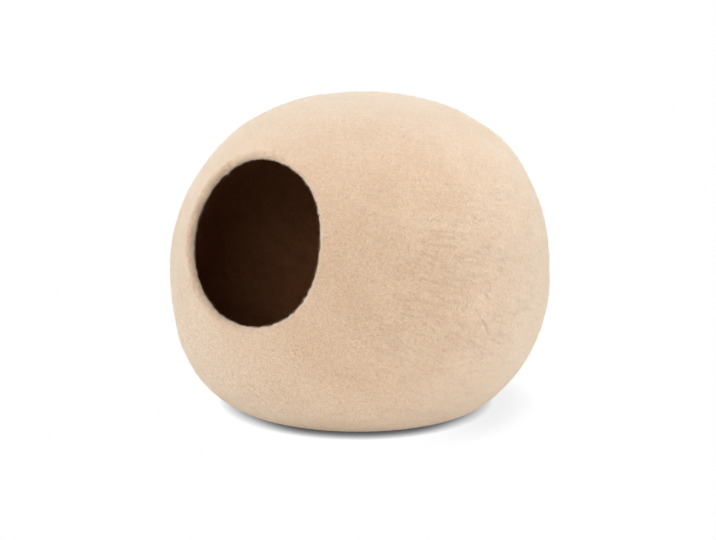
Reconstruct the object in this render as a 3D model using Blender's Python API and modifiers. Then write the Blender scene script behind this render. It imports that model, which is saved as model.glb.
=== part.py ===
"""Felt cat cave: one seamless shell of wet-felted wool with a round mouth cut in its front.

Metres, +Z up. The mouth faces -Y. The origin is on the floor, under the middle of the object.
"""

import math

import bmesh
import bpy
from mathutils import Vector

# Driving dimensions
HALF_WIDTH = 0.220       # along X, at the widest level
HALF_DEPTH = 0.217       # along Y, at the widest level
WIDEST_LEVEL = 0.1555    # height of the widest level above the floor
RISE = 0.208             # from the widest level up to the crown
DROP = 0.1935            # from there down to the ball's lowest point, were it not sat flat
CROWN_FULLNESS = 2.20    # 2 is an ellipsoid; more is squarer in profile
BASE_FULLNESS = 2.37
LEAN = 0.008             # sideways drift towards +X for each metre of height
FLOOR_EASE = 0.0185      # height over which the wall rolls over into the flat base
WALL = 0.010             # thickness of the felt
LIP_ROUNDING = 0.0046    # radius of each edge of the cut mouth, which leaves it almost round

# The mouth is a ring about an axis that points out of the front and upwards.
MOUTH_LIFT = math.radians(19.5)
MOUTH_ACROSS = math.radians(25.7)    # half angle sideways, seen from the ball's middle
MOUTH_UP = math.radians(25.9)        # half angle upwards
MOUTH_SKEW = math.radians(-1.25)     # leans the oval over
MOUTH_SQUARENESS = math.radians(-0.30)

# What hands and gravity leave uneven: side is measured from the front towards +X.
SWELL_COLUMNS = ("side", "lift", "spread", "height")    # degrees, degrees, degrees, metres
SWELLS = (
    (0, 12, 45, -0.0015),       # the front is a little flatter, round the mouth
    (129, -28, 28, -0.0014),
    (129, 0, 28, 0.0036),       # the right flank stands out from waist to crown
    (129, 30, 28, 0.0038),
    (129, 58, 28, 0.0032),
    (-51, 62, 28, 0.0015),      # a high left shoulder over a hollow
    (-51, 35, 28, -0.0031),
    (37, -42, 30, -0.0015),     # the foot is drawn in a little below the right of the mouth
    (-150, -10, 35, 0.0022),    # and the back is fuller low down on the left
)

# Mesh density
SEGMENTS = 56            # round the mouth axis
RINGS = 26               # of the whole ball, pole to pole
CUT_RINGS = 4            # rings of the ball that the mouth takes away
LIP_SEGMENTS = 3

FELT_COLOUR = (0.708, 0.533, 0.361, 1.0)    # undyed beige wool, linear


def clear_scene():
    for old in list(bpy.data.objects):
        bpy.data.objects.remove(old)


def direction(side, lift):
    """Unit vector from the ball's middle: side from the front towards +X, lift above level."""
    return Vector((
        math.sin(side) * math.cos(lift),
        -math.cos(side) * math.cos(lift),
        math.sin(lift),
    ))


def ball_radius(ray):
    """Distance from the middle to the outer face along a unit ray."""
    if ray.z > 0:
        half_height, fullness = RISE, CROWN_FULLNESS
    else:
        half_height, fullness = DROP, BASE_FULLNESS
    level = (ray.x / HALF_WIDTH) ** 2 + (ray.y / HALF_DEPTH) ** 2
    upright = abs(ray.z) / half_height
    radius = (level ** (fullness / 2) + upright ** fullness) ** (-1 / fullness)
    for row in SWELLS:
        swell = dict(zip(SWELL_COLUMNS, row))
        centre = direction(math.radians(swell["side"]), math.radians(swell["lift"]))
        away = math.degrees(math.acos(max(-1.0, min(1.0, ray.dot(centre)))))
        radius += swell["height"] * math.exp(-((away / swell["spread"]) ** 2))
    return radius


def sit_flat(height):
    """Height above the floor once the felt has settled: exactly 0 under the base."""
    if height <= -FLOOR_EASE:
        return 0.0
    if height >= FLOOR_EASE:
        return height
    return (height + FLOOR_EASE) ** 2 / (4 * FLOOR_EASE)


def place(ray):
    """Point of the outer face along a unit ray."""
    point = ray * ball_radius(ray)
    return Vector((point.x + LEAN * point.z, point.y, sit_flat(point.z + WIDEST_LEVEL)))


def mouth_angle(turn):
    """Half angle of the mouth at a turn about its axis, from +X upwards."""
    oval = 1 / math.hypot(math.cos(turn) / MOUTH_ACROSS, math.sin(turn) / MOUTH_UP)
    return oval + MOUTH_SKEW * math.sin(2 * turn) + MOUTH_SQUARENESS * math.cos(4 * turn)


def open_ball():
    """A unit ball about its own Z axis, with the rings of the mouth cut off its top."""
    bpy.ops.mesh.primitive_uv_sphere_add(segments=SEGMENTS, ring_count=RINGS, radius=1.0)
    ball = bpy.context.object
    edge = math.cos(math.pi * (CUT_RINGS - 0.5) / RINGS)
    mesh = bmesh.new()
    mesh.from_mesh(ball.data)
    inside_mouth = [v for v in mesh.verts if v.co.z > edge]
    bmesh.ops.delete(mesh, geom=inside_mouth, context="VERTS")
    mesh.to_mesh(ball.data)
    mesh.free()
    return ball


def shape_shell(ball):
    """Turn the ball's pole onto the mouth axis and move each vertex to the felted form."""
    axis = direction(0.0, MOUTH_LIFT)
    across = Vector((1.0, 0.0, 0.0))
    upward = axis.cross(across)
    cut = math.pi * CUT_RINGS / RINGS
    for vertex in ball.data.vertices:
        polar = math.acos(max(-1.0, min(1.0, vertex.co.z)))
        turn = math.atan2(vertex.co.y, vertex.co.x)
        # The rings that are left share out the arc from the mouth's edge to the back pole.
        polar = math.pi - (math.pi - polar) * (math.pi - mouth_angle(turn)) / (math.pi - cut)
        radial = across * math.cos(turn) + upward * math.sin(turn)
        vertex.co = place(axis * math.cos(polar) + radial * math.sin(polar))


def centre_on_floor(ball):
    """Bring the middle of the bounding box over the origin."""
    xs = [v.co.x for v in ball.data.vertices]
    ys = [v.co.y for v in ball.data.vertices]
    middle = Vector(((min(xs) + max(xs)) / 2, (min(ys) + max(ys)) / 2, 0.0))
    for vertex in ball.data.vertices:
        vertex.co -= middle


def felt_material():
    felt = bpy.data.materials.new("wool_felt")
    felt.use_nodes = True
    shader = felt.node_tree.nodes["Principled BSDF"]
    shader.inputs["Base Color"].default_value = FELT_COLOUR
    shader.inputs["Roughness"].default_value = 0.95
    shader.inputs["Metallic"].default_value = 0.0
    return felt


def build_shell():
    shell = open_ball()
    shell.name = "felt_shell"
    shell.data.name = "felt_shell"
    shape_shell(shell)
    centre_on_floor(shell)
    shell.data.materials.append(felt_material())

    wall = shell.modifiers.new("wall", "SOLIDIFY")
    wall.thickness = WALL
    wall.offset = -1.0
    wall.use_even_offset = True

    lip = shell.modifiers.new("rounded lip", "BEVEL")
    lip.limit_method = "ANGLE"
    lip.angle_limit = math.radians(60)
    lip.width = LIP_ROUNDING
    lip.segments = LIP_SEGMENTS

    shell.data.shade_smooth()
    return shell


def main():
    clear_scene()
    cave = bpy.data.collections.new("felt_cat_cave")
    bpy.context.scene.collection.children.link(cave)
    shell = build_shell()
    for holder in list(shell.users_collection):
        holder.objects.unlink(shell)
    cave.objects.link(shell)


main()
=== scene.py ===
# %% [markdown]
# # A felt cat cave
#
# The real cave is one hollow ball of wet-felted wool. Two round blankets of carded wool are laid over
# a ball, soaped and rubbed until the fibres lock into one seamless centimetre of felt. Then the mouth
# is cut through one side and its edge is rubbed round. The plan here follows that order: camera and
# studio, the plain form, its felted relief, its wool, and last the loose fibres that stand off it.
# The imported model fixes every size, so it is loaded first and its box is kept.

import math
from functools import partial

import bmesh
import bpy
import numpy as np
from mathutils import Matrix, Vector
from mathutils.bvhtree import BVHTree


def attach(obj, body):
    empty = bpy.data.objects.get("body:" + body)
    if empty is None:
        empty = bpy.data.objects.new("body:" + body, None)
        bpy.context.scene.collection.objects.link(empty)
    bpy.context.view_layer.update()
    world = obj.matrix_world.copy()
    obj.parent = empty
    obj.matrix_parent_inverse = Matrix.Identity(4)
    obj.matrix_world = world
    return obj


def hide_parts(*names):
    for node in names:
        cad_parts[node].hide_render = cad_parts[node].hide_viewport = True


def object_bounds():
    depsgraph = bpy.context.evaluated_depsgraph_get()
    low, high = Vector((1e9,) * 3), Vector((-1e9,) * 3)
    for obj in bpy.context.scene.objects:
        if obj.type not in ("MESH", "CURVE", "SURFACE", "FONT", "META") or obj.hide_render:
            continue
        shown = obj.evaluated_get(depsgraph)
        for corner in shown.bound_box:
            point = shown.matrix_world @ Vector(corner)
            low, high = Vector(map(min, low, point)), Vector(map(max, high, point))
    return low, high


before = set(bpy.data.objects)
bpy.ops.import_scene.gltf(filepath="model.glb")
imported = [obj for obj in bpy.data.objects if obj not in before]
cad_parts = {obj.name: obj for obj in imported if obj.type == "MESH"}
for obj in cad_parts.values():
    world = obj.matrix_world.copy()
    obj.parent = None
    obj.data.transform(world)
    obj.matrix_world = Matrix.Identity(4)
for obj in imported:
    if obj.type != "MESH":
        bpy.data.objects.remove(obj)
CAD_BOX = [list(corner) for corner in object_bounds()]
LOW, HIGH = (Vector(corner) for corner in CAD_BOX)
WIDTH, DEPTH, HEIGHT = HIGH - LOW
MM = 0.001
print("cave: %.0f x %.0f x %.0f mm" % (WIDTH / MM, DEPTH / MM, HEIGHT / MM))

# %% [markdown]
# ## Camera
#
# The cave is seen from the right of its mouth and a little above, from two metres away with a long
# lens, so its roundness is kept. The aim stays at half height and a small downward shift of the
# frame leaves more room under the cave than over it. Turning the camera instead would tilt the
# verticals.

# %% Place the camera
def direction(side, lift):
    """Unit vector: side turns from the front (-Y) towards +X, lift is above level. In degrees."""
    side, lift = math.radians(side), math.radians(lift)
    return Vector((math.sin(side) * math.cos(lift), -math.cos(side) * math.cos(lift), math.sin(lift)))


AIM = Vector((0.0, -1.0 * MM, 0.48 * HEIGHT))
CAMERA_SIDE = 37.8       # degrees round from the front
CAMERA_LIFT = 12.0       # degrees above level
CAMERA_DISTANCE = 2.0
LENS_MM = 85.8

camera_data = bpy.data.cameras.new("camera")
camera_data.lens = LENS_MM
camera_data.sensor_width = 36.0
camera_data.shift_x = 0.001
camera_data.shift_y = -0.0214
camera_data.clip_end = 50.0
camera = bpy.data.objects.new("camera", camera_data)
bpy.context.scene.collection.objects.link(camera)
camera.location = AIM + CAMERA_DISTANCE * direction(CAMERA_SIDE, CAMERA_LIFT)
camera.rotation_euler = (AIM - camera.location).to_track_quat("-Z", "Y").to_euler()
bpy.context.scene.camera = camera
print("camera at", [round(c, 3) for c in camera.location])

# %% [markdown]
# ## Studio
#
# A plain white floor under a white sky, as in a light tent. Large soft lamps at the left, the right
# and overhead make the rims of the ball lighter than its middle, and leave only a thin shadow where
# it touches the floor. The sky is white for the camera and dimmer as a lamp, so that the lamps
# model the ball. The floor is a light table: it glows a little up at the ball, and to the camera it
# is pure white, but for two soft shadows. Ambient occlusion finds both. One is where the felt
# overhangs the floor by a few millimetres; the side lamps wash it out under the flanks. The other
# is wide and faint, on the right, where the ball keeps off the light of the left softbox.

# %% Nodes and colours
def add_node(tree, kind, inputs=None, **settings):
    """Add a node. Settings are its own options; inputs are values, or nodes and sockets to link."""
    node = tree.nodes.new(kind)
    for name, value in settings.items():
        setattr(node, name, value)
    for name, value in (inputs or {}).items():
        sockets = [socket for socket in node.inputs if socket.enabled and socket.name == name]
        socket = sockets[0] if sockets else node.inputs[name]
        if isinstance(value, bpy.types.Node):
            value = next(output for output in value.outputs if output.enabled)
        if isinstance(value, bpy.types.NodeSocket):
            tree.links.new(value, socket)
        else:
            socket.default_value = value
    return node


def linear(hex_colour):
    """An sRGB hex colour as linear RGBA."""
    channels = [int(hex_colour[i:i + 2], 16) / 255 for i in (1, 3, 5)]
    toned = [c / 12.92 if c <= 0.04045 else ((c + 0.055) / 1.055) ** 2.4 for c in channels]
    return (*toned, 1.0)


scene = bpy.context.scene
scene.view_settings.view_transform = "Standard"
WHITE = (1.0, 1.0, 1.0, 1.0)

# %% The floor's two shadows
SHADOW_TONE = (0.062, 0.062, 0.066, 1.0)    # the floor where the felt almost touches it
SHADOW_REACH = 11 * MM                      # felt nearer than this dims the floor
TOUCHING = 0.08                             # openness at which the floor has the full tone
SHADOW_FALLOFF = (0.78, 0.42)               # in front and behind, and under the flanks
FLANKS_BEGIN = 60 * MM                      # to either side of the middle
FLANKS_END = 120 * MM
LEE_REACH = 50 * MM
LEE_TONE = 0.86
LEE_OPENNESS = (0.40, 0.86)                 # at the full tone, and where it ends
LEE_BEGINS = 60 * MM                        # to the right of the middle
LEE_FULL = 160 * MM
TO_THE_RIGHT = direction(128, 0)
LEFT_SKY = direction(-52, 50)               # where the left softbox's light comes from

floor_material = bpy.data.materials.new("white_studio_floor")
floor_material.use_nodes = True
paint = floor_material.node_tree
paint.nodes.clear()
openness = add_node(paint, "ShaderNodeAmbientOcclusion", {"Distance": SHADOW_REACH}, samples=8)
openness = add_node(paint, "ShaderNodeMapRange", {
    "Value": openness.outputs["AO"], "From Min": TOUCHING, "From Max": 1.0})
on_floor = add_node(paint, "ShaderNodeTexCoord").outputs["Object"]
rightward = add_node(paint, "ShaderNodeVectorMath", {0: on_floor, 1: TO_THE_RIGHT},
                     operation="DOT_PRODUCT").outputs["Value"]
sideways = add_node(paint, "ShaderNodeMath", {0: rightward}, operation="ABSOLUTE")
falloff = add_node(paint, "ShaderNodeMapRange", interpolation_type="SMOOTHSTEP", inputs={
    "Value": sideways, "From Min": FLANKS_BEGIN, "From Max": FLANKS_END,
    "To Min": SHADOW_FALLOFF[0], "To Max": SHADOW_FALLOFF[1]})
openness = add_node(paint, "ShaderNodeMath", {0: openness, 1: falloff}, operation="POWER")
lee = add_node(paint, "ShaderNodeAmbientOcclusion", {"Distance": LEE_REACH, "Normal": LEFT_SKY}, samples=8)
lee = add_node(paint, "ShaderNodeMapRange", {
    "Value": lee.outputs["AO"], "From Min": LEE_OPENNESS[0], "From Max": LEE_OPENNESS[1],
    "To Min": LEE_TONE, "To Max": 1.0})
on_right = add_node(paint, "ShaderNodeMapRange", interpolation_type="SMOOTHSTEP", inputs={
    "Value": rightward, "From Min": LEE_BEGINS, "From Max": LEE_FULL})
lee = add_node(paint, "ShaderNodeMix", {"Factor": on_right, "A": 1.0, "B": lee})
openness = add_node(paint, "ShaderNodeMath", {0: openness, 1: lee}, operation="MULTIPLY")
shadow = add_node(paint, "ShaderNodeMix", {"Factor": openness, "A": SHADOW_TONE, "B": WHITE},
                  data_type="RGBA")
print("floor shadows within %.0f and %.0f mm of the felt" % (SHADOW_REACH / MM, LEE_REACH / MM))

# %% The floor
FLOOR_SIZE = 60.0
FLOOR_GLOW = 0.20        # light that the table gives the ball from below
PAINT = "#F8F8F8"
WARM_GLASS = "#FFF6E8"

shown = add_node(paint, "ShaderNodeEmission", {"Color": shadow})
lit = add_node(paint, "ShaderNodeBsdfDiffuse", {"Color": linear(PAINT)})
glow = add_node(paint, "ShaderNodeEmission", {"Color": linear(WARM_GLASS), "Strength": FLOOR_GLOW})
table = add_node(paint, "ShaderNodeAddShader", {0: lit, 1: glow})
path = add_node(paint, "ShaderNodeLightPath")
seen = add_node(paint, "ShaderNodeMixShader", {0: path.outputs["Is Camera Ray"], 1: table, 2: shown})
add_node(paint, "ShaderNodeOutputMaterial", {"Surface": seen})

floor_mesh = bmesh.new()
bmesh.ops.create_grid(floor_mesh, x_segments=1, y_segments=1, size=FLOOR_SIZE / 2)
floor_data = bpy.data.meshes.new("studio_floor")
floor_mesh.to_mesh(floor_data)
floor_mesh.free()
floor_data.materials.append(floor_material)
floor = bpy.data.objects.new("studio_floor", floor_data)
scene.collection.objects.link(floor)
print("floor %.0f m across, %d nodes" % (FLOOR_SIZE, len(paint.nodes)))

# %% The sky
SKY_FOR_CAMERA = 1.0
SKY_AS_LAMP = 0.26
world = bpy.data.worlds.new("light_tent")
world.use_nodes = True
scene.world = world
sky = world.node_tree
sky.nodes.clear()
bright = add_node(sky, "ShaderNodeBackground", {"Color": WHITE, "Strength": SKY_FOR_CAMERA})
dim = add_node(sky, "ShaderNodeBackground", {"Color": WHITE, "Strength": SKY_AS_LAMP})
path = add_node(sky, "ShaderNodeLightPath")
seen = add_node(sky, "ShaderNodeMixShader",
                {0: path.outputs["Is Camera Ray"], 1: dim, 2: bright})
add_node(sky, "ShaderNodeOutputWorld", {"Surface": seen})
print("sky: %.2f for the camera, %.2f as a lamp" % (SKY_FOR_CAMERA, SKY_AS_LAMP))

# %% The lamps
LAMP_COLUMNS = ("name", "side", "lift", "distance", "width", "height", "watts")    # degrees and metres
LAMPS = (
    ("left_softbox", -62, 24, 1.8, 1.5, 1.5, 18.5),
    ("right_softbox", 128, 25, 1.8, 1.5, 1.5, 19.3),
    ("back_softbox", 215, 30, 1.9, 1.5, 1.5, 10.5),
    ("overhead_softbox", 20, 82, 1.7, 1.8, 1.8, 18.5),
    ("mouth_light", 24, 20, 2.4, 0.8, 0.8, 9.5),
    ("right_fill", 70, 13, 2.4, 1.0, 1.0, 4.6),
)
BALL_MIDDLE = Vector((0.0, 0.0, 0.45 * HEIGHT))
for row in LAMPS:
    lamp = dict(zip(LAMP_COLUMNS, row))
    data = bpy.data.lights.new(lamp["name"], "AREA")
    data.shape = "RECTANGLE"
    data.size, data.size_y = lamp["width"], lamp["height"]
    data.energy = lamp["watts"]
    light = bpy.data.objects.new(lamp["name"], data)
    scene.collection.objects.link(light)
    light.location = BALL_MIDDLE + lamp["distance"] * direction(lamp["side"], lamp["lift"])
    light.rotation_euler = (BALL_MIDDLE - light.location).to_track_quat("-Z", "Y").to_euler()
print("lamps:", ", ".join(row[0] for row in LAMPS))

# %% [markdown]
# ## Reading the form from the frame
#
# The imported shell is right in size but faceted. Its look is a smooth ball, so a copy is merged,
# its triangles are paired back into quads and subdivision rounds it off. That copy is only a
# form to measure, as a maker's ball is: rays are shot at it to find where the felt lies, and it
# is thrown away at the end. Rays from the middle that meet nothing go out of the mouth, so their
# mean is the mouth's axis.

# %% A smooth form to measure
def smooth_form(node):
    """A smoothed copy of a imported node, as a tree that rays can be cast at."""
    mesh = bmesh.new()
    mesh.from_mesh(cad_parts[node].data)
    bmesh.ops.remove_doubles(mesh, verts=mesh.verts, dist=0.01 * MM)
    bmesh.ops.join_triangles(
        mesh, faces=mesh.faces, angle_face_threshold=math.pi, angle_shape_threshold=math.pi)
    data = bpy.data.meshes.new("form")
    mesh.to_mesh(data)
    mesh.free()
    copy = bpy.data.objects.new("form", data)
    scene.collection.objects.link(copy)
    smooth = copy.modifiers.new("smooth", "SUBSURF")
    smooth.levels = smooth.render_levels = 2
    tree = BVHTree.FromObject(copy, bpy.context.evaluated_depsgraph_get())
    quads = sum(len(face.vertices) == 4 for face in data.polygons)
    print("form: %d faces, of which %d quads" % (len(data.polygons), quads))
    bpy.data.objects.remove(copy)
    return tree


FORM = smooth_form("felt_shell")
MIDDLE = Vector((0.0, 0.0, 0.43 * HEIGHT))
FAR_OUT = WIDTH

# %% The mouth's axis
PROBES = 6000
GOLDEN_TURN = math.pi * (3 - math.sqrt(5))


def escapes(ray):
    """Whether a ray from the middle leaves through the mouth."""
    return FORM.ray_cast(MIDDLE, ray)[0] is None


axis = Vector((0, 0, 0))
for probe in range(PROBES):
    height = 1 - 2 * (probe + 0.5) / PROBES
    around = math.sqrt(1 - height * height)
    turn = GOLDEN_TURN * probe
    ray = Vector((around * math.cos(turn), around * math.sin(turn), height))
    if escapes(ray):
        axis += ray
axis.normalize()
ACROSS = Vector((1, 0, 0)) - axis * axis.x
ACROSS.normalize()
UPWARD = axis.cross(ACROSS)
print("mouth axis lifts %.1f degrees" % math.degrees(math.asin(axis.z)))

# %% [markdown]
# ## The felt shell
#
# One closed wall, a centimetre thick, drawn as rings about the mouth's axis: out from the rounded
# lip, over the ball to the back, and the same inside. A sphere with a hole cut by a Boolean would
# be quicker, but the cut leaves odd cells at the lip, where the eye goes. Rings suit it because the
# mouth is one of them, and because the felt shrinks towards the mouth, so its ripples run along the
# lines from lip to back. A ring has about as many columns as its length needs. Where rings shrink
# to half, every second column is dropped, as a knitter decreases, which keeps the cells even at the
# back.

# %% How wide the mouth opens at each turn
COLUMNS = 640            # of the longest rings, about 2 mm apart
BISECTIONS = 16
WIDEST_MOUTH = math.radians(45)
BACKWARD = -axis
back_outside = FORM.ray_cast(MIDDLE + FAR_OUT * BACKWARD, axis)[0]
back_inside = FORM.ray_cast(MIDDLE, BACKWARD)[0]
WALL = (back_outside - back_inside).length
LIP_RADIUS = WALL / 2
DRAWN_BACK = 0.7 * MM    # cut felt shrinks back a little
reach_at_lip = WIDTH / 2


def ray_at(turn, polar):
    """Unit ray at a turn about the mouth's axis and an angle away from it."""
    return axis * math.cos(polar) + (ACROSS * math.cos(turn) + UPWARD * math.sin(turn)) * math.sin(polar)


def opening_angle(turn):
    """The angle from the mouth's axis at which a ray from the middle first meets the lip."""
    open_at, felt_at = 0.0, WIDEST_MOUTH
    for _ in range(BISECTIONS):
        halfway = (open_at + felt_at) / 2
        if escapes(ray_at(turn, halfway)):
            open_at = halfway
        else:
            felt_at = halfway
    return felt_at


turns = np.arange(COLUMNS) * 2 * math.pi / COLUMNS
mouth = np.array([opening_angle(turn) for turn in turns])
core = mouth + (LIP_RADIUS + DRAWN_BACK) / reach_at_lip    # where the middle of the wall ends
print("wall %.1f mm, mouth %.1f to %.1f degrees from its axis"
      % (WALL / MM, *np.degrees([mouth.min(), mouth.max()])))

# %% How far the felt reaches along each ray
REACH_ROWS = 160
SLOPE_ROWS = 4           # give the slope on which the reach runs on to the lip
LIP_MARGIN = 10 * MM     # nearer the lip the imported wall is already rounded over

share = np.linspace(0, 1, REACH_ROWS)
reach = np.zeros((COLUMNS, REACH_ROWS))
corners = [vertex.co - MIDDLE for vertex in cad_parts["felt_shell"].data.vertices]
corners = [corner for corner in corners if axis.angle(corner) > core.max() + LIP_MARGIN / reach_at_lip]
gaps = []
for corner in corners:
    ray = corner.normalized()
    smooth_reach = (FORM.ray_cast(MIDDLE + FAR_OUT * ray, -ray)[0] - MIDDLE).length
    if corner.length > smooth_reach - WALL / 2:
        gaps.append(corner.length - smooth_reach)
ROUNDED_OFF = sum(gaps) / len(gaps)      # smoothing draws the form in a little; this puts it back
for column, turn in enumerate(turns):
    first = math.ceil(LIP_MARGIN / reach_at_lip / (math.pi - core[column]) * (REACH_ROWS - 1))
    for row in range(first, REACH_ROWS):
        ray = ray_at(turn, core[column] + (math.pi - core[column]) * share[row])
        felt_at = FORM.ray_cast(MIDDLE + FAR_OUT * ray, -ray)[0]
        reach[column, row] = (felt_at - MIDDLE).length + ROUNDED_OFF
    slope = (reach[column, first + SLOPE_ROWS] - reach[column, first]) / SLOPE_ROWS
    for row in range(first):
        reach[column, row] = reach[column, first] + slope * (row - first)
print("felt reaches %.0f to %.0f mm from the middle, of which %.2f mm makes up for the rounding"
      % (reach.min() / MM, reach.max() / MM, ROUNDED_OFF / MM))

# %% Points and normals of the outer face
BASIS = np.array([ACROSS, UPWARD, axis])


def reach_along(rays):
    """The reach of each unit ray, read between the rows and columns of the table."""
    local = rays @ BASIS.T
    column = np.mod(np.arctan2(local[:, 1], local[:, 0]), 2 * math.pi) / (2 * math.pi) * COLUMNS
    left = np.floor(column).astype(int)
    blend = column - left
    left, right = left % COLUMNS, (left + 1) % COLUMNS
    edge = core[left] * (1 - blend) + core[right] * blend
    polar = np.arccos(np.clip(local[:, 2], -1, 1))
    row = np.clip((polar - edge) / (math.pi - edge), 0, 1) * (REACH_ROWS - 1)
    low = np.minimum(np.floor(row).astype(int), REACH_ROWS - 2)
    up = row - low
    near = reach[left, low] * (1 - blend) + reach[right, low] * blend
    far = reach[left, low + 1] * (1 - blend) + reach[right, low + 1] * blend
    return near * (1 - up) + far * up


def normals_along(rays, points_apart=6 * MM):
    """The outer face's normals: a ray, tipped by how its reach changes to either side."""
    step = points_apart / reach_at_lip
    helper = np.where(np.abs(rays[:, [2]]) < 0.9, [[0.0, 0.0, 1.0]], [[1.0, 0.0, 0.0]])
    first = np.cross(rays, helper)
    first /= np.linalg.norm(first, axis=1)[:, None]
    second = np.cross(rays, first)
    length = reach_along(rays)
    normal = rays.copy()
    for side in (first, second):
        ahead = rays + side * step
        behind = rays - side * step
        ahead /= np.linalg.norm(ahead, axis=1)[:, None]
        behind /= np.linalg.norm(behind, axis=1)[:, None]
        slope = (reach_along(ahead) - reach_along(behind)) / (2 * step)
        normal -= side * (slope / length)[:, None]
    return normal / np.linalg.norm(normal, axis=1)[:, None]


def rays_of_ring(count, along):
    """The rays of one ring of points, a share of the way from the lip to the back."""
    turn = np.arange(count) * 2 * math.pi / count
    edge = np.interp(turn, np.append(turns, 2 * math.pi), np.append(core, core[0]))
    polar = edge + (math.pi - edge) * along
    flat = np.array([np.cos(turn) * np.sin(polar), np.sin(turn) * np.sin(polar), np.cos(polar)]).T
    return flat @ BASIS, turn


# %% Rings of the wall, from the outer back round the lip to the inner back
INNER_STEP = 12.0 * MM
LIP_STEPS = 10
COARSEST = 20
INNER_COLUMNS = 160      # past the first two inner rings, which the eye still reaches from outside
ROW_SPACING = (           # how far apart the rows lie, at distances from the lip, both in mm
    (0, 2.2), (14, 2.6), (22, 4.4), (180, 4.4), (192, 3.0), (300, 3.0), (312, 4.8), (640, 5.2),
)
meridian = (math.pi - core.mean()) * reach_at_lip


def row_shares():
    """Where the outer rows lie, as shares of the way from the lip to the back."""
    distances, steps = np.array(ROW_SPACING).T * MM
    shares = [0.0]
    while shares[-1] < 1:
        step = np.interp(shares[-1] * meridian, distances, steps)
        shares.append(shares[-1] + step / meridian)
    return np.array(shares) / shares[-1]


def columns_for(ring_radius, most):
    """Columns of a ring: halved from the most each time the ring shrinks to half."""
    count = COLUMNS
    while count > COARSEST and ring_radius < reach_at_lip * count / COLUMNS / 2:
        count //= 2
    return min(count, most)


def wall_ring(along, most, inner):
    """One ring of the outer or inner face: points, outward normals, turns, distance past the lip."""
    radius = reach_at_lip * math.sin(core.mean() + (math.pi - core.mean()) * along)
    rays, turn = rays_of_ring(columns_for(radius, most), along)
    normals = normals_along(rays)
    points = np.array(MIDDLE) + rays * reach_along(rays)[:, None] - normals * (WALL if inner else 0)
    past = (LIP_RADIUS * math.pi / 2 + meridian * along) * (1 if inner else -1)
    return points, normals, turn, past


def lip_ring(share_round, count):
    """One ring of the rounded lip, a share of the way from the outer to the inner face."""
    rays, turn = rays_of_ring(count, 0.0)
    normals = normals_along(rays)
    cores = np.array(MIDDLE) + rays * reach_along(rays)[:, None] - normals * LIP_RADIUS
    tangents = np.roll(cores, -1, axis=0) - np.roll(cores, 1, axis=0)
    inwards = np.cross(tangents, normals)
    inwards /= np.linalg.norm(inwards, axis=1)[:, None]
    inwards *= np.sign(inwards @ np.array(axis))[:, None]
    swing = math.pi * share_round
    points = cores + LIP_RADIUS * (math.cos(swing) * normals + math.sin(swing) * inwards)
    return points, normals, turn, LIP_RADIUS * (swing - math.pi / 2)


inner_rows = round(meridian / INNER_STEP)
rings = [wall_ring(along, COLUMNS, False) for along in row_shares()[-2::-1]]
lip_columns = len(rings[-1][0])
rings += [lip_ring(i / LIP_STEPS, lip_columns) for i in range(1, LIP_STEPS)]
for i in range(inner_rows):
    rings.append(wall_ring(i / inner_rows, lip_columns if i < 2 else INNER_COLUMNS, True))
print("%d rings, %d columns at the lip, %d at the most"
      % (len(rings), lip_columns, max(len(ring[0]) for ring in rings)))


# %% Join the rings into one closed mesh
def join_rings(here, here_count, there, there_count):
    """Faces between two rings with equal columns, or with half or double as many."""
    if here_count == there_count:
        return [(here + j, here + (j + 1) % here_count, there + (j + 1) % here_count, there + j)
                for j in range(here_count)]
    if here_count == 2 * there_count:
        return [(here + 2 * j, here + 2 * j + 1, here + (2 * j + 2) % here_count,
                 there + (j + 1) % there_count, there + j) for j in range(there_count)]
    return [(here + j, here + (j + 1) % here_count, there + (2 * j + 2) % there_count,
             there + 2 * j + 1, there + 2 * j) for j in range(here_count)]


outer_pole = np.array(MIDDLE) + np.array(BACKWARD) * reach[:, -1].mean()
inner_pole = outer_pole + np.array(axis) * WALL
points = np.vstack([outer_pole[None], *[ring[0] for ring in rings], inner_pole[None]])
points[:, 2] = np.maximum(points[:, 2], LOW.z)      # its own weight presses the base flat
starts = 1 + np.cumsum([0] + [len(ring[0]) for ring in rings])
faces = []
for first, second, a, b in zip(rings, rings[1:], starts, starts[1:]):
    faces += join_rings(int(a), len(first[0]), int(b), len(second[0]))
first_count, last_count, last = len(rings[0][0]), len(rings[-1][0]), len(points) - 1
faces += [(0, 1 + (j + 1) % first_count, 1 + j) for j in range(first_count)]
last_start = int(starts[-2])
faces += [(last, last_start + j, last_start + (j + 1) % last_count) for j in range(last_count)]
triangles = sum(len(face) - 2 for face in faces)

wall_mesh = bpy.data.meshes.new("felt_shell_wall")
wall_mesh.from_pydata(points.tolist(), [], faces)
wall_mesh.validate()


def store(name, kind, values):
    """Keep a value for each point of the wall, under a name that nodes can read."""
    attribute = wall_mesh.attributes.new(name, kind, "POINT")
    field = "vector" if kind == "FLOAT_VECTOR" else "value"
    attribute.data.foreach_set(field, np.asarray(values, np.float32).ravel())


turn_of = np.concatenate([[0.0], *[ring[2] for ring in rings], [0.0]])
past_of = np.concatenate([np.full(len(ring[0]), ring[3]) for ring in rings])
past_of = np.concatenate([[rings[0][3]], past_of, [rings[-1][3]]])
normal_of = np.vstack([[np.array(BACKWARD)], *[ring[1] for ring in rings], [np.array(BACKWARD)]])
ring_of = np.linalg.norm(np.cross(points - np.array(MIDDLE), np.array(axis)), axis=1)
store("outward", "FLOAT_VECTOR", normal_of)
store("lay", "FLOAT_VECTOR", np.array([np.cos(turn_of), np.sin(turn_of), past_of]).T)
store("ring", "FLOAT", ring_of)
print("wall: %d points, %d triangles" % (len(points), triangles))
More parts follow.
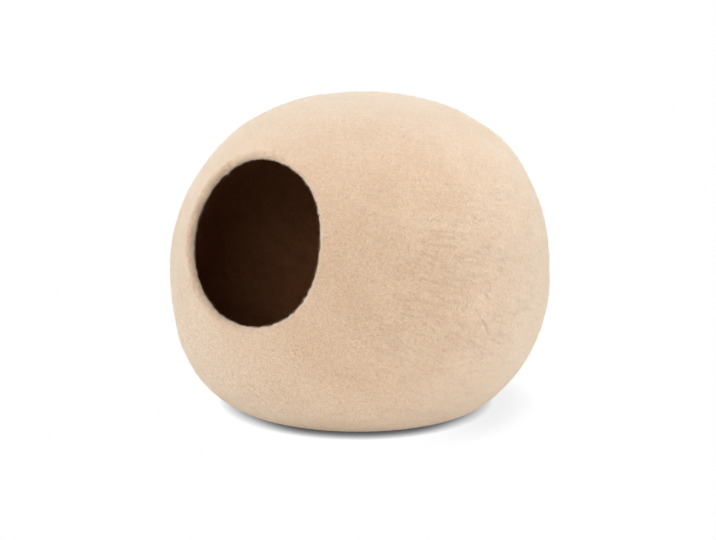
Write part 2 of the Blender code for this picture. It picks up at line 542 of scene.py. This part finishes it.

# %% [markdown]
# ## Felted relief
#
# Rubbing shrinks the blanket over the ball, and it shrinks unevenly. That leaves relief of several
# sizes. Fullness in four places and hand-wide swells move the whole wall, so both its faces shift
# together. Fine ripples a few millimetres apart run away from the mouth, because the cloth was
# dragged that way. The knife leaves the edge of the mouth slightly ragged, with one small tuft. And
# on the right flank the felt has folded over itself into a few real creases. Bump in the material
# could draw all this, but it would leave the outline smooth, so the wall itself is moved. What
# follows a rule, such as swells, ripples and raggedness, comes from noise in Geometry Nodes. What
# was left in one place by a hand is placed one by one: the fullness, the tuft, and the creases, which
# are lines on the ball that the nodes press a trough along. Fullness, swells and ripples fade out at
# the floor, where the base is flat.

# %% Build a node tree and run it on a mesh
KINDS = {"F": "NodeSocketFloat", "I": "NodeSocketInt", "O": "NodeSocketObject", "M": "NodeSocketMaterial"}


def start_tree(name, inputs):
    """A Geometry Nodes tree with named inputs: the tree, its add function and its inputs."""
    tree = bpy.data.node_groups.new(name, "GeometryNodeTree")
    tree.interface.new_socket("Mesh", in_out="INPUT", socket_type="NodeSocketGeometry")
    for title, kind in inputs.items():
        tree.interface.new_socket(title, in_out="INPUT", socket_type=KINDS[kind])
    tree.interface.new_socket("Mesh", in_out="OUTPUT", socket_type="NodeSocketGeometry")
    return tree, partial(add_node, tree), tree.nodes.new("NodeGroupInput").outputs


def run_tree(tree, mesh, name, **values):
    """Run a tree on a mesh and keep the result as a new piece's own plain mesh."""
    holder = bpy.data.objects.new(name + "_source", mesh)
    scene.collection.objects.link(holder)
    modifier = holder.modifiers.new(tree.name, "NODES")
    modifier.node_group = tree
    for item in tree.interface.items_tree:
        key = item.name.lower().replace(" ", "_")
        if item.in_out == "INPUT" and key in values:
            modifier[item.identifier] = values.pop(key)
    assert not values, "no such input: %s" % list(values)
    result = holder.evaluated_get(bpy.context.evaluated_depsgraph_get())
    piece = bpy.data.objects.new(name, bpy.data.meshes.new_from_object(result))
    piece.data.name = name
    bpy.data.objects.remove(holder)
    scene.collection.objects.link(piece)
    piece.data.shade_smooth()
    piece.data.calc_loop_triangles()
    print("%s: %d triangles" % (name, len(piece.data.loop_triangles)))
    return piece


# %% Place the creases
CREASE_STEP = math.radians(0.4)
CREASES = (              # depth from 0 to 1, then points as side and lift in degrees
    (0.9, (73.2, -1), (74.2, -3.4), (76.4, -5.2), (77.4, -8), (80, -10.2)),
    (1.0, (79.6, -9.8), (81.8, -12.2), (84, -12.9), (86.6, -13.2), (89.8, -12.2)),
    (0.8, (84, -12.9), (83.6, -14.6), (84.6, -16.4), (84.2, -18)),
    (0.7, (70.4, -8.2), (72.6, -10.8), (73.4, -13.4)),
    (0.7, (74.6, -12.6), (76.8, -14.4), (77, -17)),
    (0.6, (66, -3.2), (68.6, -5.4), (69.4, -8)),
    (0.6, (82, -20.4), (85.6, -21.2), (88.6, -20)),
    (0.5, (72, -20), (75, -20.6), (77.6, -19.8)),
    (0.6, (74.4, -27.6), (77, -29), (79.4, -28.4)),
    (0.5, (71, -24), (73.2, -24.8), (75, -24.2)),
    (0.5, (60, -14), (62.6, -15.4), (64, -17.6)),
    (0.45, (92, -4), (95.6, -5.4), (99, -5)),
    (0.45, (90.6, -16), (94.4, -17.4), (98, -16.8)),
    (0.6, (158, -12), (162, -14), (166, -13), (171, -15)),
    (0.5, (-104, -18), (-100, -20), (-95, -19)),
    (0.5, (166, 34), (171, 32), (175, 33)),
)


def crease_lines():
    """The creases as edges on the outer face, with a depth at each point that fades at both ends."""
    spots, edges, depths = [], [], []
    for depth, *corners in CREASES:
        rays = [direction(*corner) for corner in corners]
        path = []
        for ray, following in zip(rays, rays[1:]):
            steps = max(1, round(ray.angle(following) / CREASE_STEP))
            path += [ray.slerp(following, i / steps) for i in range(steps)]
        path.append(rays[-1])
        edges += [(len(spots) + i, len(spots) + i + 1) for i in range(len(path) - 1)]
        for i, ray in enumerate(path):
            spots.append(FORM.ray_cast(MIDDLE + FAR_OUT * ray, -ray)[0])
            depths.append(depth * math.sin(math.pi * (i + 0.5) / len(path)) ** 0.5)
    mesh = bpy.data.meshes.new("crease_lines")
    mesh.from_pydata(spots, edges, [])
    mesh.attributes.new("depth", "FLOAT", "POINT").data.foreach_set("value", depths)
    return bpy.data.objects.new("crease_lines", mesh)


creases = crease_lines()
print("%d creases, %d points" % (len(CREASES), len(creases.data.vertices)))

# %% The felting tree: inputs and the wall's own directions
tree, add, given = start_tree("felting", {
    "Swell Size": "F", "Swell Height": "F", "Swell Seed": "F",
    "Ripple Spacing": "F", "Ripple Length": "F", "Ripple Depth": "F", "Raggedness": "F",
    "Crease Width": "F", "Crease Depth": "F", "Creases": "O", "Outer Wool": "M", "Inner Wool": "M"})
place = add("GeometryNodeInputPosition")
lay = add("GeometryNodeInputNamedAttribute", {"Name": "lay"}, data_type="FLOAT_VECTOR")
ring_size = add("GeometryNodeInputNamedAttribute", {"Name": "ring"}, data_type="FLOAT")
outward = add("GeometryNodeInputNamedAttribute", {"Name": "outward"}, data_type="FLOAT_VECTOR")
level = add("ShaderNodeSeparateXYZ", {0: place}).outputs["Z"]
past_lip = add("ShaderNodeSeparateXYZ", {0: lay}).outputs["Z"]
from_lip = add("ShaderNodeMath", {0: past_lip}, operation="ABSOLUTE")
off_floor = add("ShaderNodeMapRange", {"Value": level, "From Min": 1 * MM, "From Max": 28 * MM},
                interpolation_type="SMOOTHSTEP")

# %% Fullness that the maker's hands left, in the wall as a whole
FULLNESS = (             # side, lift and spread in degrees, then how far the wall stands out in mm
    (128, -9, 13, 3.0),
    (128, 41, 8.5, 2.8),
    (128, -29, 11, 2.4),
    (-52, -31, 12, 2.4),
)
fullness = 0.0
for side, lift, spread, stands_out in FULLNESS:
    heart = MIDDLE + reach_at_lip * direction(side, lift)
    away = add("ShaderNodeVectorMath", {0: place, 1: heart}, operation="DISTANCE").outputs["Value"]
    near = add("ShaderNodeMapRange", {"Value": away, "From Min": 0.0,
                                      "From Max": 2 * math.radians(spread) * reach_at_lip,
                                      "To Min": stands_out * MM, "To Max": 0.0},
               interpolation_type="SMOOTHERSTEP")
    fullness = add("ShaderNodeMath", {0: near, 1: fullness}, operation="ADD")
print("fullness in %d places" % len(FULLNESS))

# %% Swells
finer = add("ShaderNodeMath", {0: 1.0, 1: given["Swell Size"]}, operation="DIVIDE")
swell_noise = add("ShaderNodeTexNoise", noise_dimensions="4D", inputs={
    "Vector": place, "W": given["Swell Seed"], "Scale": finer, "Detail": 1.0, "Roughness": 0.4})
swell = add("ShaderNodeMapRange", {"Value": swell_noise, "From Min": 0.3, "From Max": 0.7,
                                   "To Min": -1.0, "To Max": 1.0})
swell = add("ShaderNodeMath", {0: swell, 1: given["Swell Height"], 2: fullness}, operation="MULTIPLY_ADD")
swell = add("ShaderNodeMath", {0: swell, 1: off_floor}, operation="MULTIPLY")
swell_shift = add("ShaderNodeVectorMath", {0: outward, "Scale": swell}, operation="SCALE")
print("swells: %d nodes so far" % len(tree.nodes))

# %% Ripples along the meridians of the mouth's axis
RIPPLE_BANDS = (0.10, 0.20)      # ring radii where their spacing is exact, in metres
VALLEY_HALF_WIDTH = 0.055        # as a share of the noise
WAVE = 4.0                       # how much of the noise's own gentle wave lies between the valleys
along_scale = add("ShaderNodeMath", {0: 1.0, 1: given["Ripple Length"]}, operation="DIVIDE")
bands = []
for band in RIPPLE_BANDS:
    across_scale = add("ShaderNodeMath", {0: band, 1: given["Ripple Spacing"]}, operation="DIVIDE")
    stretch = add("ShaderNodeCombineXYZ", {"X": across_scale, "Y": across_scale, "Z": along_scale})
    stretched = add("ShaderNodeVectorMath", {0: lay, 1: stretch}, operation="MULTIPLY")
    bands.append(add("ShaderNodeTexNoise", {"Vector": stretched, "Scale": 1.0, "Detail": 2.0,
                                            "Roughness": 0.45, "Distortion": 0.35}))
band_share = add("ShaderNodeMapRange", {"Value": ring_size, "From Min": RIPPLE_BANDS[0],
                                        "From Max": RIPPLE_BANDS[1]})
ripple_noise = add("ShaderNodeMix", {"Factor": band_share, "A": bands[0], "B": bands[1]})
centred = add("ShaderNodeMath", {0: ripple_noise, 1: 0.5}, operation="SUBTRACT")
folded = add("ShaderNodeMath", {0: centred}, operation="ABSOLUTE")
valley = add("ShaderNodeMapRange", {"Value": folded, "From Min": 0.0, "From Max": VALLEY_HALF_WIDTH,
                                    "To Min": -1.0, "To Max": 0.0}, interpolation_type="SMOOTHSTEP")
ripple = add("ShaderNodeMath", {0: centred, 1: WAVE, 2: valley}, operation="MULTIPLY_ADD")
print("ripples in bands about rings of", RIPPLE_BANDS, "m")

# %% Where the ripples are strong
DRAGGED_MOST = ((76, 6), (-105, -5), (165, 5))    # side and lift of the flanks that were dragged most
begin = add("ShaderNodeMapRange", {"Value": from_lip, "From Min": 12 * MM, "From Max": 110 * MM},
            interpolation_type="SMOOTHSTEP")
end = add("ShaderNodeMapRange", {"Value": from_lip, "From Min": 360 * MM, "From Max": 520 * MM,
                                 "To Min": 1.0, "To Max": 0.15}, interpolation_type="SMOOTHSTEP")
high = add("ShaderNodeMapRange", {"Value": level, "From Min": 0.24, "From Max": 0.34,
                                  "To Min": 1.0, "To Max": 0.2}, interpolation_type="SMOOTHSTEP")
dragged = 0.0
for side, lift in DRAGGED_MOST:
    heart = MIDDLE + reach_at_lip * direction(side, lift)
    away = add("ShaderNodeVectorMath", {0: place, 1: heart}, operation="DISTANCE").outputs["Value"]
    near = add("ShaderNodeMapRange", {"Value": away, "From Min": 50 * MM, "From Max": 170 * MM,
                                      "To Min": 1.0, "To Max": 0.4}, interpolation_type="SMOOTHSTEP")
    dragged = add("ShaderNodeMath", {0: near, 1: dragged}, operation="MAXIMUM")
patch_noise = add("ShaderNodeTexNoise", {"Vector": place, "Scale": 1 / (55 * MM), "Detail": 1.0})
patches = add("ShaderNodeMapRange", {"Value": patch_noise, "From Min": 0.35, "From Max": 0.62,
                                     "To Min": 0.5, "To Max": 1.0})
strength = off_floor
for limit in (begin, end, high, dragged, patches):
    strength = add("ShaderNodeMath", {0: strength, 1: limit}, operation="MULTIPLY")
ripple = add("ShaderNodeMath", {0: ripple, 1: strength}, operation="MULTIPLY")
ripple = add("ShaderNodeMath", {0: ripple, 1: given["Ripple Depth"]}, operation="MULTIPLY")
groove = add("ShaderNodeMath", {0: valley, 1: strength}, operation="MULTIPLY")
print("ripples strongest on %d flanks" % len(DRAGGED_MOST))

# %% The cut edge: a little ragged, with one tuft that the rubbing missed
TUFT_TURN = math.radians(132)
TUFT_PAST_LIP = 3.5 * MM
TUFT_HEIGHT = 2.0 * MM
lip_ring_radius = reach_at_lip * math.sin(core.mean())
edge_noise = add("ShaderNodeTexNoise", {"Vector": place, "Scale": 1 / (6 * MM), "Detail": 3.0,
                                        "Roughness": 0.65})
ragged = add("ShaderNodeMath", {0: edge_noise, 1: 0.5}, operation="SUBTRACT")
at_edge = add("ShaderNodeMapRange", {"Value": from_lip, "From Min": 2 * MM, "From Max": 11 * MM,
                                     "To Min": 1.0, "To Max": 0.0}, interpolation_type="SMOOTHSTEP")
ragged = add("ShaderNodeMath", {0: ragged, 1: at_edge}, operation="MULTIPLY")
ragged = add("ShaderNodeMath", {0: ragged, 1: given["Raggedness"]}, operation="MULTIPLY")
round_lip = add("ShaderNodeVectorMath", {0: lay, 1: (lip_ring_radius, lip_ring_radius, 1.0)},
                operation="MULTIPLY")
tuft = (lip_ring_radius * math.cos(TUFT_TURN), lip_ring_radius * math.sin(TUFT_TURN), TUFT_PAST_LIP)
away = add("ShaderNodeVectorMath", {0: round_lip, 1: tuft}, operation="DISTANCE").outputs["Value"]
tufted = add("ShaderNodeMapRange", {"Value": away, "From Min": 0.5 * MM, "From Max": 4 * MM,
                                    "To Min": TUFT_HEIGHT, "To Max": 0.0}, interpolation_type="SMOOTHSTEP")
ragged = add("ShaderNodeMath", {0: ragged, 1: tufted}, operation="ADD")
print("lip: a ring of radius %.0f mm, with a tuft %.1f mm high" % (lip_ring_radius / MM, TUFT_HEIGHT / MM))

# %% Creases: a trough pressed along each line, with a low swell of felt beside it
SHOULDER_WIDTH = 2.4     # of the swell, where the trough is 1 wide
SHOULDER_HEIGHT = 0.45   # where the trough is 1 deep
lines = add("GeometryNodeObjectInfo", {"Object": given["Creases"]}).outputs["Geometry"]
distance = add("GeometryNodeProximity", {0: lines, "Sample Position": place},
               target_element="EDGES").outputs["Distance"]
nearest = add("GeometryNodeSampleNearest", {"Geometry": lines}, domain="POINT")
depth = add("GeometryNodeInputNamedAttribute", {"Name": "depth"}, data_type="FLOAT")
depth = add("GeometryNodeSampleIndex", {"Geometry": lines, "Value": depth, "Index": nearest},
            data_type="FLOAT", domain="POINT")
rough_noise = add("ShaderNodeTexNoise", {"Vector": place, "Scale": 1 / (7 * MM)})
width = add("ShaderNodeMapRange", {"Value": rough_noise, "From Min": 0.3, "From Max": 0.7,
                                   "To Min": 0.6, "To Max": 1.4})
width = add("ShaderNodeMath", {0: width, 1: given["Crease Width"]}, operation="MULTIPLY")
wide = add("ShaderNodeMath", {0: width, 1: SHOULDER_WIDTH}, operation="MULTIPLY")
trough = add("ShaderNodeMapRange", {"Value": distance, "From Min": 0.0, "From Max": width,
                                    "To Min": 1.0, "To Max": 0.0}, interpolation_type="SMOOTHSTEP")
shoulder = add("ShaderNodeMapRange", {"Value": distance, "From Min": 0.0, "From Max": wide,
                                      "To Min": SHOULDER_HEIGHT, "To Max": 0.0},
               interpolation_type="SMOOTHSTEP")
crease = add("ShaderNodeMath", {0: shoulder, 1: trough}, operation="SUBTRACT")
crease = add("ShaderNodeMath", {0: crease, 1: depth}, operation="MULTIPLY")
crease_height = add("ShaderNodeMath", {0: crease, 1: given["Crease Depth"]}, operation="MULTIPLY")
print("creases: %d nodes so far" % len(tree.nodes))

# %% Move the wall
relief = add("ShaderNodeMath", {0: ripple, 1: crease_height}, operation="ADD")
relief = add("ShaderNodeMath", {0: relief, 1: ragged}, operation="ADD")
straight_out = add("GeometryNodeInputNormal")
relief_shift = add("ShaderNodeVectorMath", {0: straight_out, "Scale": relief}, operation="SCALE")
shift = add("ShaderNodeVectorMath", {0: swell_shift, 1: relief_shift}, operation="ADD")
kept = given["Mesh"]
# the crease and groove depths are kept for the wool material, which paints shade into them
for name, field in (("crease", crease), ("groove", groove)):
    kept = add("GeometryNodeStoreNamedAttribute", {"Geometry": kept, "Name": name, "Value": field},
               data_type="FLOAT", domain="POINT")
moved = add("GeometryNodeSetPosition", {"Geometry": kept, "Offset": shift})
real = add("GeometryNodeRealizeInstances", {"Geometry": moved})
INNER_FACE_STARTS = 12 * MM      # past the lip, where all the wool is brown
inner_face = add("ShaderNodeMath", {0: past_lip, 1: INNER_FACE_STARTS}, operation="GREATER_THAN")
dyed = add("GeometryNodeSetMaterial", {"Geometry": real, "Material": given["Outer Wool"]})
dyed = add("GeometryNodeSetMaterial",
           {"Geometry": dyed, "Selection": inner_face, "Material": given["Inner Wool"]})
add("NodeGroupOutput", {"Mesh": dyed})
felting = tree
print("felting tree: %d nodes" % len(felting.nodes))

# %% [markdown]
# ## Wet-felted wool
#
# Wet-felted wool is matt: light that meets it is scattered among millions of fibres, so it has no
# highlight, only a soft glow where it turns away from the eye. That is roughness near 1, hardly any
# specular and some sheen. Up close the fibres lie every way in a flat tangle, so the bump is made
# of creased noise, which leaves short curly ridges. Undyed fleece is never one colour, so the beige
# drifts a little over hand-wide patches and from fibre to fibre. These patterns are noise on Object
# coordinates, because an image of felt would show seams where it is unwrapped from a ball. The
# inner face is coloured brown, and one colour turns into the other over the rounded lip.

# %% Colour of the wool, by its distance past the lip
BEIGE = "#E6C3A3"
BEIGE_PALE = "#EFD4B8"
BEIGE_WARM = "#DAAF88"
BROWN = "#B07A52"
BROWN_DARK = "#926240"
HEATHER_SHARE = 0.8      # of the colour change is from fibre to fibre, the rest over hand-wide patches
BLEND_START = 3.5 * MM   # past the lip, where beige fibres begin to give way to brown
BLEND_END = 9.0 * MM
STRAY = 4 * MM           # how far fibres of one colour wander into the other
LIP_HIGHLIGHT = "#F4E4D0"       # painted highlight: light that the rounded cut lip and its raised fibres catch
LIP_HIGHLIGHT_SHARE = 0.18
LIP_HIGHLIGHT_BAND = 9 * MM


def wool_colour(add):
    """Fleece colour nodes: beige outside, brown inside, mottled and heathered, painted highlight on the
    lip.
    """
    spot = add("ShaderNodeTexCoord").outputs["Object"]
    mottle = add("ShaderNodeTexNoise", {"Vector": spot, "Scale": 1 / (45 * MM), "Detail": 3.0})
    mottle = add("ShaderNodeMapRange", {"Value": mottle, "From Min": 0.3, "From Max": 0.7})
    heather = add("ShaderNodeTexNoise", {"Vector": spot, "Scale": 1 / (2.2 * MM), "Detail": 3.0,
                                         "Roughness": 0.7, "Distortion": 1.2})
    heather = add("ShaderNodeMapRange", {"Value": heather, "From Min": 0.32, "From Max": 0.68})
    tint = add("ShaderNodeMath", {0: heather, 1: HEATHER_SHARE}, operation="MULTIPLY")
    tint = add("ShaderNodeMath", {0: mottle, 1: 1 - HEATHER_SHARE, 2: tint}, operation="MULTIPLY_ADD")
    outer = add("ShaderNodeValToRGB", {"Fac": tint})
    outer.color_ramp.elements[0].color = linear(BEIGE_WARM)
    outer.color_ramp.elements[1].color = linear(BEIGE_PALE)
    outer.color_ramp.elements.new(0.5).color = linear(BEIGE)
    inner = add("ShaderNodeMix", {"Factor": tint, "A": linear(BROWN_DARK), "B": linear(BROWN)},
                data_type="RGBA")
    lay = add("ShaderNodeAttribute", attribute_name="lay").outputs["Vector"]
    past_lip = add("ShaderNodeSeparateXYZ", {0: lay}).outputs["Z"]
    stray = add("ShaderNodeTexNoise", {"Vector": spot, "Scale": 1 / (5 * MM), "Detail": 3.0})
    stray = add("ShaderNodeMath", {0: stray, 1: STRAY, 2: past_lip}, operation="MULTIPLY_ADD")
    inside = add("ShaderNodeMapRange", interpolation_type="SMOOTHSTEP", inputs={
        "Value": stray, "From Min": BLEND_START + STRAY / 2, "From Max": BLEND_END + STRAY / 2})
    from_lip = add("ShaderNodeMath", {0: past_lip}, operation="ABSOLUTE")
    # painted highlight along the lip, fading out a band's width from its edge
    painted_highlight = add("ShaderNodeMapRange", {"Value": from_lip, "From Min": 0.0, "From Max": LIP_HIGHLIGHT_BAND,
                                        "To Min": LIP_HIGHLIGHT_SHARE, "To Max": 0.0},
                 interpolation_type="SMOOTHSTEP")
    outer = add("ShaderNodeMix", {"Factor": painted_highlight, "A": outer, "B": linear(LIP_HIGHLIGHT)}, data_type="RGBA")
    return spot, add("ShaderNodeMix", {"Factor": inside, "A": outer, "B": inner}, data_type="RGBA")


def start_material(name, sheen):
    """A matt wool material: its tree, add function and shader, and the nodes of wool_colour."""
    material = bpy.data.materials.new(name)
    material.use_nodes = True
    tree = material.node_tree
    shader = tree.nodes["Principled BSDF"]
    shader.inputs["Roughness"].default_value = 0.95
    shader.inputs["Specular IOR Level"].default_value = 0.12
    shader.inputs["Sheen Weight"].default_value = sheen
    shader.inputs["Sheen Roughness"].default_value = 0.55
    shader.inputs["Sheen Tint"].default_value = linear("#F7FFF7")
    add = partial(add_node, tree)
    return tree, add, shader, *wool_colour(add)


# %% The felted faces
FIBRE_TANGLES = ((3.4, 0.80), (1.8, 0.52))    # size and height of the curly ridges, in mm
RIDGE_SPAN = 0.25        # of the noise, from the top of a ridge to the bottom of a pit
CREASE_SHADE = 0.30      # how much painted shade darkens the wool deep in a crease, in the groove of a ripple and in a pit between the ridges, whose tops get a little painted light
GROOVE_SHADE = 0.15      # in the groove of a ripple
HOLLOW_SHADE = 0.13      # and in a pit between the ridges
CROWN_RELIEF = 0.70      # of the tangle's height is left on the crown, which is rubbed most
CROWN_BEGINS = 0.20      # metres above the floor
CROWN_FULL = 0.31


def felt_material(name, sheen):
    """Wet-felted wool: fleece colour over a tangle of curly ridges, with painted shade wherever it is
    hollow.
    """
    tree, add, shader, spot, colour = start_material(name, sheen)
    # painted shade: the fleece colour is darkened in creases, ripple grooves and pits, and a little
    # lightened on ridge tops
    crease = add("ShaderNodeAttribute", attribute_name="crease").outputs["Fac"]
    shade = add("ShaderNodeMapRange", {"Value": crease, "From Min": -0.5, "From Max": 0.0,
                                       "To Min": 1 - CREASE_SHADE, "To Max": 1.0})
    groove = add("ShaderNodeAttribute", attribute_name="groove").outputs["Fac"]
    shade_in_groove = add("ShaderNodeMapRange", {"Value": groove, "From Min": -1.0, "From Max": 0.0,
                                           "To Min": 1 - GROOVE_SHADE, "To Max": 1.0})
    shade = add("ShaderNodeMath", {0: shade, 1: shade_in_groove}, operation="MULTIPLY")
    height = 0.0
    for size, rise in FIBRE_TANGLES:
        tangle = add("ShaderNodeTexNoise", {"Vector": spot, "Scale": 1 / (size * MM), "Detail": 2.0,
                                            "Roughness": 0.6, "Distortion": 0.8})
        centred = add("ShaderNodeMath", {0: tangle, 1: 0.5}, operation="SUBTRACT")
        hollow = add("ShaderNodeMath", {0: centred}, operation="ABSOLUTE")
        height = add("ShaderNodeMath", {0: hollow, 1: -rise * MM / RIDGE_SPAN, 2: height},
                     operation="MULTIPLY_ADD")
        shade_in_hollow = add("ShaderNodeMapRange", {"Value": hollow, "From Min": 0.0, "From Max": RIDGE_SPAN,
                                               "To Min": 1 + HOLLOW_SHADE / 3, "To Max": 1 - HOLLOW_SHADE})
        shade = add("ShaderNodeMath", {0: shade, 1: shade_in_hollow}, operation="MULTIPLY")
    shaded = add("ShaderNodeVectorMath", {0: colour, "Scale": shade}, operation="SCALE")
    level = add("ShaderNodeSeparateXYZ", {0: spot}).outputs["Z"]
    towards_crown = add("ShaderNodeMapRange", {
        "Value": level, "From Min": CROWN_BEGINS, "From Max": CROWN_FULL,
        "To Min": 1.0, "To Max": CROWN_RELIEF})
    height = add("ShaderNodeMath", {0: height, 1: towards_crown}, operation="MULTIPLY")
    bump = add("ShaderNodeBump", {"Height": height, "Strength": 1.0, "Distance": 1.0})
    tree.links.new(shaded.outputs[0], shader.inputs["Base Color"])
    tree.links.new(bump.outputs[0], shader.inputs["Normal"])
    print("%s: %d nodes" % (name, len(tree.nodes)))
    return bpy.data.materials[name]


wet_felted_beige_wool = felt_material("wet_felted_beige_wool", sheen=0.85)
wet_felted_brown_wool = felt_material("wet_felted_brown_wool", sheen=0.0)    # in shade, so no glow

# %% Felt the wall
felt_shell_wool = run_tree(
    felting, wall_mesh, "felt_shell_wool",
    swell_size=75 * MM, swell_height=1.1 * MM, swell_seed=17.0,
    ripple_spacing=6.5 * MM, ripple_length=38 * MM, ripple_depth=0.7 * MM,
    raggedness=5.5 * MM, crease_width=3.2 * MM, crease_depth=1.9 * MM, creases=creases,
    outer_wool=wet_felted_beige_wool, inner_wool=wet_felted_brown_wool)

# %% [markdown]
# ## Loose fibres
#
# However well it is rubbed, felt keeps a bloom of fibres that stand off it. They soften its outline
# and its lip, where a knife cut them. Hair curves could draw them, but only a mesh goes into every
# file, so one fibre is a bent three-sided thread of a few faces. Geometry Nodes scatter copies over
# the felted wall, lay them nearly flat in every direction and vary their length, and each takes the
# colour of the wool under it. They are drawn 0.14 mm thick, about four real fibres, because a
# single one would be too fine to see, and on the lip nearly twice as thick, for the small tangled
# ends that a knife leaves there.

# %% One fibre, lying along X
FIBRE_LENGTH = 8 * MM
FIBRE_RADIUS = 0.07 * MM
FIBRE_STATIONS = (        # along and aside as shares of its length, up in mm, share of its radius
    (0.0, 0.0, -0.3, 1.0), (0.3, 0.06, 0.5, 1.0), (0.68, 0.02, 0.8, 0.8), (1.0, -0.12, 0.45, 0.35),
)


def fibre_mesh():
    """A bent, tapered, three-sided thread that starts just under the felt's face."""
    spots, faces = [], []
    for along, aside, up, thick in FIBRE_STATIONS:
        taper = FIBRE_RADIUS * thick
        for side in range(3):
            turn = 2 * math.pi * side / 3
            spots.append((along * FIBRE_LENGTH, aside * FIBRE_LENGTH + taper * math.cos(turn),
                          up * MM + taper * math.sin(turn)))
    for start in range(0, 3 * (len(FIBRE_STATIONS) - 1), 3):
        for i in range(3):
            after = (i + 1) % 3
            faces.append((start + i, start + after, start + 3 + after, start + 3 + i))
    end = len(spots) - 3
    faces += [(2, 1, 0), (end, end + 1, end + 2)]
    mesh = bpy.data.meshes.new("fibre")
    mesh.from_pydata(spots, [], faces)
    return mesh


fibre = bpy.data.objects.new("fibre", fibre_mesh())
print("one fibre: %d faces" % len(fibre.data.polygons))

# %% The fibre tree
CLEAR_OF_FLOOR = 8 * MM  # lower, a fibre could reach through the floor

tree, add, given = start_tree("loose_fibres", {
    "Fibres per Area": "F", "From": "F", "To": "F", "Shortest": "F", "Longest": "F", "Steepest": "F",
    "Thickness": "F", "Fibre": "O", "Wool": "M", "Seed": "I"})
place = add("GeometryNodeInputPosition")
level = add("ShaderNodeSeparateXYZ", {0: place}).outputs["Z"]
lay = add("GeometryNodeInputNamedAttribute", {"Name": "lay"}, data_type="FLOAT_VECTOR")
past_lip = add("ShaderNodeSeparateXYZ", {0: lay}).outputs["Z"]
after = add("ShaderNodeMath", {0: past_lip, 1: given["From"]}, operation="GREATER_THAN")
before = add("ShaderNodeMath", {0: past_lip, 1: given["To"]}, operation="LESS_THAN")
clear = add("ShaderNodeMath", {0: level, 1: CLEAR_OF_FLOOR}, operation="GREATER_THAN")
density = given["Fibres per Area"]
for limit in (after, before, clear):
    density = add("ShaderNodeMath", {0: density, 1: limit}, operation="MULTIPLY")
roots = add("GeometryNodeDistributePointsOnFaces",
            {"Mesh": given["Mesh"], "Density": density, "Seed": given["Seed"]})
lowest = add("ShaderNodeMath", {0: given["Steepest"], 1: -1.0}, operation="MULTIPLY")
spin = add("FunctionNodeRandomValue", {"Min": 0.0, "Max": 2 * math.pi, "Seed": 1}, data_type="FLOAT")
tilt = add("FunctionNodeRandomValue", {"Min": lowest, "Max": 0.0, "Seed": 2}, data_type="FLOAT")
turned = add("ShaderNodeCombineXYZ", {"Y": tilt, "Z": spin})
turned = add("FunctionNodeEulerToRotation", {0: turned})
laid = add("FunctionNodeRotateRotation", {0: roots.outputs["Rotation"], 1: turned},
           rotation_space="LOCAL")
length = add("FunctionNodeRandomValue", {"Min": given["Shortest"], "Max": given["Longest"], "Seed": 3},
             data_type="FLOAT")
curl = add("FunctionNodeRandomValue", {"Min": 0.3, "Max": 1.0, "Seed": 4}, data_type="FLOAT")
size = add("ShaderNodeCombineXYZ", {"X": length, "Y": given["Thickness"], "Z": curl})
shape = add("GeometryNodeObjectInfo", {"Object": given["Fibre"]}).outputs["Geometry"]
scattered = add("GeometryNodeInstanceOnPoints",
                {"Points": roots, "Instance": shape, "Rotation": laid, "Scale": size})
strand = add("FunctionNodeRandomValue", {"Min": 0.0, "Max": 1.0, "Seed": 5}, data_type="FLOAT")
scattered = add("GeometryNodeStoreNamedAttribute",
                {"Geometry": scattered, "Name": "strand", "Value": strand},
                data_type="FLOAT", domain="INSTANCE")
real = add("GeometryNodeRealizeInstances", {"Geometry": scattered})
dyed = add("GeometryNodeSetMaterial", {"Geometry": real, "Material": given["Wool"]})
add("NodeGroupOutput", {"Mesh": dyed})
loose_fibres = tree
print("fibre tree: %d nodes" % len(loose_fibres.nodes))

# %% Loose wool
def fibre_material(name, sheen):
    """Loose fibres: the fleece's colour, a little lighter or darker from strand to strand."""
    tree, add, shader, _, colour = start_material(name, sheen)
    strand = add("ShaderNodeAttribute", attribute_name="strand").outputs["Fac"]
    shade = add("ShaderNodeMapRange", {"Value": strand, "To Min": 0.92, "To Max": 1.08})
    shaded = add("ShaderNodeVectorMath", {0: colour, "Scale": shade}, operation="SCALE")
    tree.links.new(shaded.outputs[0], shader.inputs["Base Color"])
    print("%s: %d nodes" % (name, len(tree.nodes)))
    return bpy.data.materials[name]


loose_beige_fibre = fibre_material("loose_beige_fibre", sheen=0.85)
loose_brown_fibre = fibre_material("loose_brown_fibre", sheen=0.0)

# %% Scatter the fibres
FAR = 1.0                # further from the lip than any point of the wall
LIP_BAND = (-7 * MM, 12 * MM)
FUZZ_COLUMNS = ("name", "wool", "fibres_per_area", "from", "to",     # per square metre; past the lip
                "shortest", "longest", "steepest", "thickness", "seed")
FUZZ = (
    ("outer_fuzz", loose_beige_fibre, 17000.0, -FAR, LIP_BAND[0], 0.5, 1.0, math.radians(4), 1.0, 11),
    ("lip_fuzz", loose_beige_fibre, 420000.0, *LIP_BAND, 0.25, 0.6, math.radians(16), 1.8, 12),
    ("inner_fuzz", loose_brown_fibre, 9000.0, LIP_BAND[1], FAR, 0.5, 1.0, math.radians(10), 1.0, 13),
)
fuzz = []
for row in FUZZ:
    values = dict(zip(FUZZ_COLUMNS, row))
    fuzz.append(run_tree(loose_fibres, felt_shell_wool.data, values.pop("name"), fibre=fibre, **values))

# %% [markdown]
# ## One body
#
# Every piece rides on the one body. The felted wall, a sheet from two round blankets of wool which
# the ball stretches into a bag, stands for the imported shell, and the loose fibres belong to it.

for piece in (felt_shell_wool, *fuzz):
    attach(piece, "root")
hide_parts("felt_shell")
